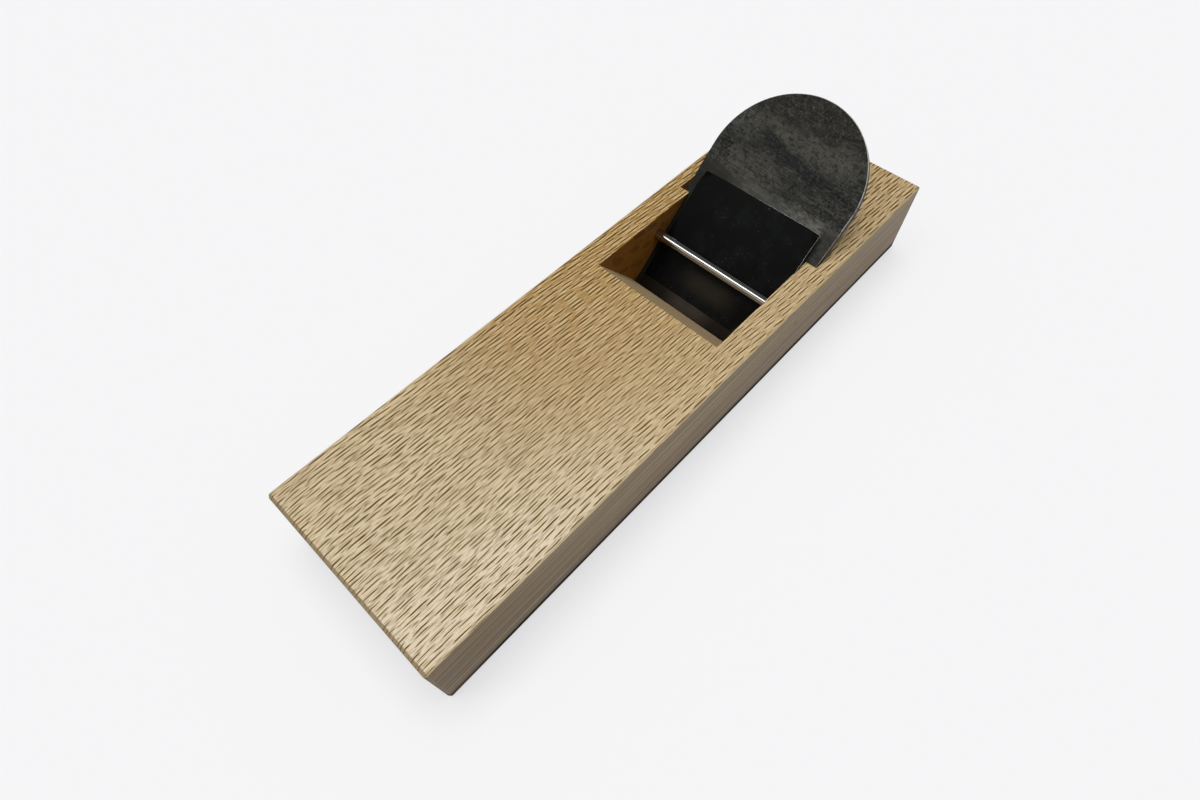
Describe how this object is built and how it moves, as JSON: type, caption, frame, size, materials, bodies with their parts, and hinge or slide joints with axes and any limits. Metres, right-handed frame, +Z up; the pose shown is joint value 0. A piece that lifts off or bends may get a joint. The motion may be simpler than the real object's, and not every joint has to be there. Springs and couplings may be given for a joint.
{
  "type": "hand plane",
  "caption": "Wooden pull plane: an oak block with a sloping throat, a wedged laminated blade, a chip breaker on its face and a polished cross pin that holds it down.",
  "frame": {"origin": "middle of the sole, on the surface that the plane stands on", "axes": "+X along the block, the way the plane is pulled; +Y towards the puller's right hand; +Z up"},
  "size_m": [0.278, 0.084, 0.0737],
  "materials": {
    "oak": "planed bare oak with open pores",
    "pin_steel": "polished",
    "forged_iron": "forge scale, mottled",
    "blade_steel": "ground, dull",
    "breaker_iron": "smooth blackened",
    "breaker_steel": "ground, dull"
  },
  "bodies": {
    "block": {"body_block": "oak", "retaining_pin": "pin_steel"},
    "blade": {"blade_iron": "forged_iron", "blade_steel": "blade_steel"},
    "chip_breaker": {"chip_breaker_iron": "breaker_iron", "chip_breaker_steel": "breaker_steel"}
  },
  "joints": [
    {"name": "blade_slide", "type": "slide", "parent": "block", "child": "blade", "axis": [-0.766, 0, 0.6428], "range_m": [-0.0006, 0.07]},
    {"name": "chip_breaker_slide", "type": "slide", "parent": "blade", "child": "chip_breaker", "axis": [-0.766, 0, 0.6428], "range_m": [-0.0004, 0.04]}
  ]
}
